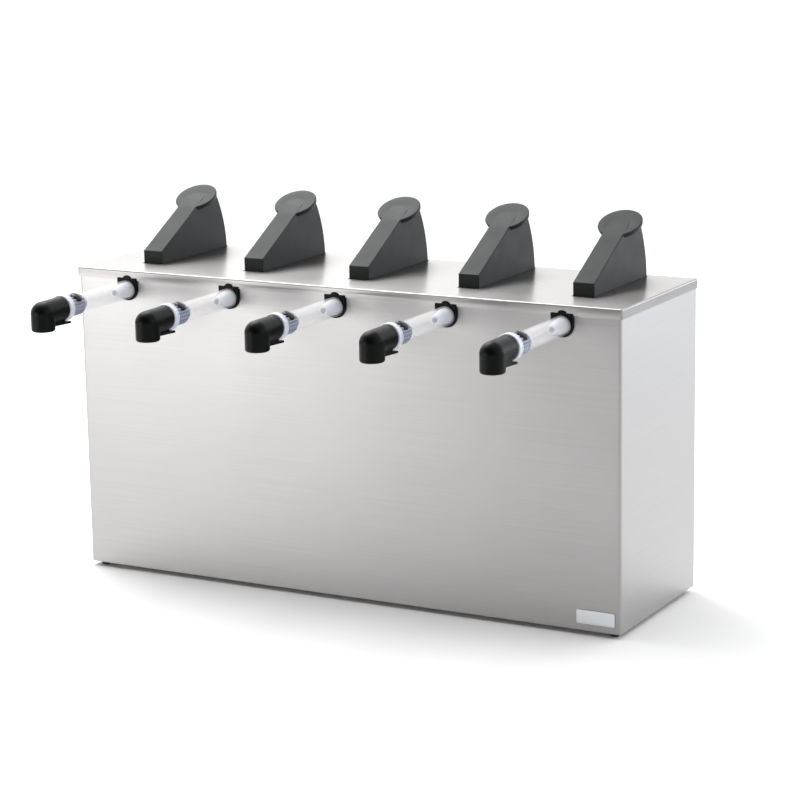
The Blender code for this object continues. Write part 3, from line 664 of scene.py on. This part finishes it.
def lever_profile(wall):
    """Side view of the lever's shell, drawn a wall's thickness inside its outer face."""
    lean = math.atan2(NECK[1] - LEVER_FRONT[1], NECK[0] - LEVER_FRONT[0])
    drop = wall / math.cos(lean)
    bottom = FLOW_Z if wall else HEM_Z
    radius = REAR_RADIUS - wall
    low_angle = math.asin((bottom - PIVOT[1]) / radius)
    rear = arc(PIVOT, radius, low_angle, REAR_TOP_ANGLE - 2.5 * wall / REAR_RADIUS, 16)
    front_y = LEVER_FRONT[0] + wall
    top = [(NECK[0], NECK[1] - drop),
           (front_y, LEVER_FRONT[1] - drop + wall * math.tan(lean))]
    if wall:
        return rear + top + [(front_y, bottom)]
    lug = arc(PIVOT, LUG_RADIUS, math.pi, 2 * math.pi, 16)
    outline = rear + top + lug + [(PIVOT[0] + LUG_RADIUS, HEM_Z)]
    sizes = [0] * (len(rear) - 1) + [0.002, 0.010, 0.0009] + [0] * (len(lug) + 1)
    return rounded(outline, sizes, steps=5)


def thumb_pad():
    """Round pad with a soft edge and a shallow dish."""
    r, t = PAD_RADIUS, PAD_THICKNESS
    dish = [(r * 0.80 * i / 10, t - PAD_DISH * (1 - (i / 10) ** 2) ** 2) for i in range(10)]
    rim = rounded([(r * 0.80, t), (r, t), (r - 0.001, 0), (0, 0)], [0, 0.0010, 0.0012, 0],
                  closed=False)
    tilt = Vector((0, -math.sin(PAD_TILT), math.cos(PAD_TILT)))
    return lathe("pad", dish + rim, Vector((0, *PAD_CENTRE)) - tilt * t, tilt, 80)


def arm_on_pad():
    """The strip that carries the arm's top face on to the middle of the pad."""
    slope = (NECK[1] - LEVER_FRONT[1]) / (NECK[0] - LEVER_FRONT[0])
    start, meet, fade, stop = 0.104, 0.1195, 0.134, 0.146
    depth, proud = 0.002, 0.0001

    def pad_z(y):
        return PAD_CENTRE[1] + (y - PAD_CENTRE[0]) * math.tan(PAD_TILT)

    start_z = LEVER_FRONT[1] + (start - LEVER_FRONT[0]) * slope
    outline = [(start, start_z - depth), (start, start_z), (meet, pad_z(meet) + proud),
               (fade, pad_z(fade) + proud), (stop, pad_z(stop) - PAD_DISH - proud),
               (stop, pad_z(stop) - depth)]
    return prism("strip", rounded(outline, [0, 0, 0.02, 0.02, 0, 0]),
                 LEVER_EDGE - LEVER_HALF, LEVER_HALF - LEVER_EDGE, "side")


def thumb_lever():
    """Hollow lever with its pad, the rib that presses the plunger and the stop lip."""
    inside = LEVER_HALF - LEVER_WALL
    boss_z = PLUNGER_HIGH.z + GAP + BOSS_RADIUS
    shell = prism("lever shell", lever_profile(0), -LEVER_HALF, LEVER_HALF, "side", LEVER_EDGE)
    boolean(shell, "DIFFERENCE",
            prism("hollow", lever_profile(LEVER_WALL), -inside, inside, "side"))
    across = inside + LEVER_WALL / 3
    y = PLUNGER_Y
    rib = prism("rib", box_outline((y - RIB_HALF, boss_z), (y + RIB_HALF, RIB_TOP_Z)),
                -across, across, "side")
    lip = prism("lip", box_outline((LIP[0], HEM_Z - 0.0001), (LIP[1], LIP_TOP_Z)),
                -LIP_HALF, LIP_HALF, "side", 0.0003)
    boss = rod("boss", (-across, y, boss_z), (across, y, boss_z), BOSS_RADIUS, 24)
    boolean(shell, "UNION", thumb_pad(), rib, boss, lip, arm_on_pad())
    return boolean(shell, "DIFFERENCE", rod("pin hole", (-0.03, *PIVOT), (0.03, *PIVOT),
                                            PIN_RADIUS + GAP, 24))


def lever_pin():
    outline = rounded([(0, PIN_HIGH.x * 2), (PIN_RADIUS, PIN_HIGH.x * 2), (PIN_RADIUS, 0), (0, 0)],
                      0.0006, closed=False, steps=3)
    return lathe("pin", outline, (-PIN_HIGH.x, *PIVOT), (1, 0, 0), 24)


def pump_body():
    """Chamber with a bead at its mouth, intake barb, riser, spigot and the lever's ears."""
    y = PLUNGER_Y
    r = CHAMBER_RADIUS
    height = CHAMBER_TOP_Z - CHAMBER_BOTTOM_Z
    waist = r - BEAD_DEPTH
    side = rounded([(0, height), (r, height), (r, height - BEAD_HEIGHT),
                    (waist, height - BEAD_HEIGHT - 0.001), (waist, 0), (0.008, 0), (0, 0)],
                   [0, 0.0006, 0.0004, 0.0004, 0.003, 0, 0], closed=False)
    body = lathe("chamber", side, (0, y, CHAMBER_BOTTOM_Z), (0, 0, 1), 64)
    foot_z, tip = BODY_LOW.z, BODY_LOW.y
    intake = rounded([(0, 0.018), (0.0082, 0.018), (0.0082, 0.010), (0.009, 0.0085),
                      (0.0082, 0.006), (0.009, 0.0045), (0.0078, 0), (0, 0)], 0.0003, closed=False)
    spigot_length = RISER_Y - tip
    spigot = [(0, spigot_length), (SPIGOT_TIP_RADIUS, spigot_length),
              (SPIGOT_RADIUS, spigot_length - SPIGOT_TAPER), (SPIGOT_RADIUS, 0), (0, 0)]
    saddle = rounded(box_outline((-SADDLE_HALF, SADDLE_Z[0]), (SADDLE_HALF, SADDLE_Z[1])), 0.001)
    boolean(body, "UNION",
            lathe("intake", intake, (0, y, foot_z), (0, 0, 1), 40),
            rod("duct", (0, RISER_Y, DUCT_Z), (0, y - 0.017, DUCT_Z), DUCT_RADIUS),
            rod("riser", (0, RISER_Y, RISER_FOOT_Z), (0, RISER_Y, FLOW_Z + 0.0075), RISER_RADIUS),
            lathe("spigot", rounded(spigot, 0.0006, closed=False), (0, RISER_Y, FLOW_Z),
                  (0, -1, 0), 48),
            prism("saddle", saddle, *SADDLE_Y, "front"))
    front, middle, rear = EAR_Y
    high_foot, low_foot = EAR_FOOT_Z
    ear = rounded([(front, high_foot), (middle, high_foot), (middle, low_foot), (rear, low_foot),
                   (rear, BODY_HIGH.z), (front, BODY_HIGH.z)], [0.002, 0.003, 0, 0, 0.002, 0.002])
    ears = [prism("ear", ear, *sorted(s * face for face in EAR_SIDES), "side", 0.0004)
            for s in (-1, 1)]
    boolean(body, "UNION", *ears)
    return boolean(
        body, "DIFFERENCE",
        rod("chamber bore", (0, y, CHAMBER_FLOOR_Z), (0, y, 0.01), CHAMBER_BORE, 64),
        rod("intake bore", (0, y, foot_z - 0.01), (0, y, CHAMBER_FLOOR_Z + 0.01), INTAKE_BORE),
        rod("riser bore", (0, RISER_Y, -0.0911), (0, RISER_Y, FLOW_Z + 0.0003), RISER_BORE),
        rod("spigot bore", (0, RISER_Y, FLOW_Z), (0, tip - 0.01, FLOW_Z), SPIGOT_TIP_BORE),
        rod("pin holes", (-0.03, *PIVOT), (0.03, *PIVOT), PIN_RADIUS + GAP, 24))


def plunger():
    """Rod with a round head above and a two-lipped piston below."""
    low, top = PLUNGER_LOW.z, PLUNGER_HIGH.z
    r, waist, rod_radius, head = PLUNGER_HIGH.x, 0.0174, 0.0045, 0.0075
    piston = low + 0.012
    outline = [(0, top), (head, top), (head, top - 0.005), (rod_radius, top - 0.008),
               (rod_radius, piston), (r, piston), (waist, piston - 0.004),
               (waist, low + 0.004), (r, low), (0, low)]
    sizes = [0, 0.0012, 0.0006, 0.0015, 0.0015, 0.0003, 0.001, 0.001, 0.0003, 0]
    return lathe("plunger", rounded(outline, sizes, closed=False), (0, PLUNGER_Y, 0),
                 (0, 0, 1), 64)


def return_spring():
    """Round wire coil, wound tight over the closed part of a turn at both ends."""
    turns, closed, snug = 5.5, 0.8, 0.9
    per_turn, sides = 40, 10
    low, high = SPRING_LOW.z + SPRING_WIRE, SPRING_HIGH.z - SPRING_WIRE
    steps = int(turns * per_turn)
    shape = bmesh.new()
    rings = []
    for i in range(steps + 1):
        turn = turns * i / steps
        a = 2 * math.pi * turn
        ramp = min(max((turn - closed) / (turns - 2 * closed), 0), 1)
        flat = 2 * SPRING_WIRE * (min(turn, closed) + max(turn - turns + closed, 0)) / closed
        z = low + flat * snug + (high - low - 4 * SPRING_WIRE * snug) * ramp
        out = Vector((math.cos(a), math.sin(a), 0))
        centre = out * SPRING_RADIUS + Vector((0, PLUNGER_Y, z))
        rings.append([shape.verts.new(centre + SPRING_WIRE * (
            out * math.cos(b) + Vector((0, 0, math.sin(b)))))
            for b in (2 * math.pi * k / sides for k in range(sides))])
    for one, two in zip(rings, rings[1:]):
        for k in range(sides):
            j = (k + 1) % sides
            shape.faces.new((one[k], one[j], two[j], two[k]))
    shape.faces.new(rings[0][::-1])
    shape.faces.new(rings[-1])
    return piece_from("coil", shape)


def make_pumps(looks):
    lid = "lid"
    put_on_pumps(pump_body(), "pump_moulding", looks["pump"], lid, "pump_body")
    put_on_pumps(collar_bush(), "tube_bush", looks["black"], lid, "front_collar")
    put_on_pumps(clear_tube(), "clear_tube", looks["clear"], lid,
                 "discharge_tube")
    put_on_pumps(coupler_barrel(), "coupler_barrel", looks["barrel"], lid,
                 "lock_collar", 50)
    put_on_pumps(coupler_ring(), "coupler_ring", looks["ring"], lid,
                 "lock_collar")
    put_on_pumps(release_button(), "release_button", looks["button"],
                 "button_{}", "lock_button")
    put_on_pumps(nozzle(), "spout_elbow", looks["black"], lid, "nozzle")
    put_on_pumps(thumb_lever(), "thumb_lever", looks["lever"], "lever_{}",
                 "lever")
    put_on_pumps(lever_pin(), "pivot_pin", looks["steel"], lid, "lever_pin")
    put_on_pumps(plunger(), "piston_rod", looks["pump"], "plunger_{}", "plunger")
    make_springs(looks["steel"])


def make_springs(material):
    """The springs stand on the chamber floors."""
    coil = shaded(return_spring(), material)
    for n in PUMPS:
        place = ORIGIN + Vector((PUMP_X[n], 0, 0))
        spring = bpy.data.objects.new(f"coil_spring_{n}", coil.data.copy())
        bpy.context.scene.collection.objects.link(spring)
        spring.data.transform(Matrix.Translation(place))
        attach(spring, "lid")
        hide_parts(f"return_spring_{n}")
        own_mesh(spring)
    bpy.data.objects.remove(coil, do_unlink=True)


# Studio: the dome's brightness, and the share of it that is left overhead

FRONT_ROOM, BACK_WALL = 0.15, 1.84
CEILING = 0.76


def add_camera():
    """Camera at the viewing angle of the reference view."""
    azimuth, elevation, roll = (math.radians(d) for d in (28.64, 12.50, -0.969))
    distance, target = 2.699, Vector((0.0323, 0.06, 0.2001))
    forward = Vector((-math.sin(azimuth) * math.cos(elevation),
                      math.cos(azimuth) * math.cos(elevation), -math.sin(elevation)))
    right = Vector((math.cos(azimuth), math.sin(azimuth), 0))
    up = right.cross(forward)
    right, up = (math.cos(roll) * right + math.sin(roll) * up,
                 math.cos(roll) * up - math.sin(roll) * right)
    data = bpy.data.cameras.new("camera")
    data.sensor_width = 36.0
    data.lens = 117.45
    camera = bpy.data.objects.new("camera", data)
    bpy.context.scene.collection.objects.link(camera)
    axes = Matrix((right, up, -forward)).transposed().to_4x4()
    camera.matrix_world = Matrix.Translation(target - forward * distance) @ axes
    bpy.context.scene.camera = camera


def soft_light(name, place, aim, size, power, colour=(1, 1, 1)):
    data = bpy.data.lights.new(name, "AREA")
    data.shape = "RECTANGLE"
    data.size, data.size_y = size
    data.energy = power
    data.color = colour
    lamp = bpy.data.objects.new(name, data)
    bpy.context.scene.collection.objects.link(lamp)
    lamp.location = place
    lamp.rotation_euler = (Vector(aim) - Vector(place)).to_track_quat("-Z", "Y").to_euler()


def add_world():
    """A white dome, brightest as a band behind the object and dim in the room before it."""
    world = bpy.data.worlds.new("studio")
    bpy.context.scene.world = world
    world.use_nodes = True
    tree = world.node_tree
    coordinates = tree.nodes.new("ShaderNodeTexCoord")
    split = tree.nodes.new("ShaderNodeSeparateXYZ")
    tree.links.new(coordinates.outputs["Generated"], split.inputs["Vector"])

    def fade(axis, start, end, low, high):
        ramp = tree.nodes.new("ShaderNodeMapRange")
        ramp.interpolation_type = "SMOOTHSTEP"
        for label, value in (("From Min", start), ("From Max", end),
                             ("To Min", low), ("To Max", high)):
            ramp.inputs[label].default_value = value
        tree.links.new(split.outputs[axis], ramp.inputs["Value"])
        return ramp.outputs["Result"]

    product = tree.nodes.new("ShaderNodeMath")
    product.operation = "MULTIPLY"
    tree.links.new(fade("Y", -0.75, 0.0, FRONT_ROOM, BACK_WALL), product.inputs[0])
    tree.links.new(fade("Z", 0.30, 0.60, 1.0, CEILING), product.inputs[1])
    background = tree.nodes["Background"]
    background.inputs["Color"].default_value = (1, 1, 1, 1)
    tree.links.new(product.outputs[0], background.inputs["Strength"])


def add_floor():
    shape = bmesh.new()
    bmesh.ops.create_grid(shape, x_segments=8, y_segments=8, size=6.0)
    floor = piece_from("studio_floor", shape)
    finish = Finish("pale_floor", (0.95, 0.95, 0.95), 0.9)
    finish.vary_colour(finish.noise(3.0), 0.01)
    floor.data.materials.append(finish.material)
    floor.location.z = -0.0002


def add_studio():
    add_camera()
    add_world()
    add_floor()
    soft_light("overhead_softbox", (-0.85, 0.50, 1.70), (0, 0.05, 0.25), (1.3, 1.3), 34)
    soft_light("left_softbox", (-1.32, -1.78, 0.38), (0, 0, 0.15), (0.9, 0.7), 10)
    soft_light("right_softbox", (1.25, 1.75, 0.50), (0.3, 0.1, 0.10), (1.0, 0.7), 5,
               (0.78, 0.88, 1.0))
    bpy.context.scene.view_settings.view_transform = "Standard"


materials = make_materials()
make_cabinet(materials)
make_pumps(materials)
add_studio()
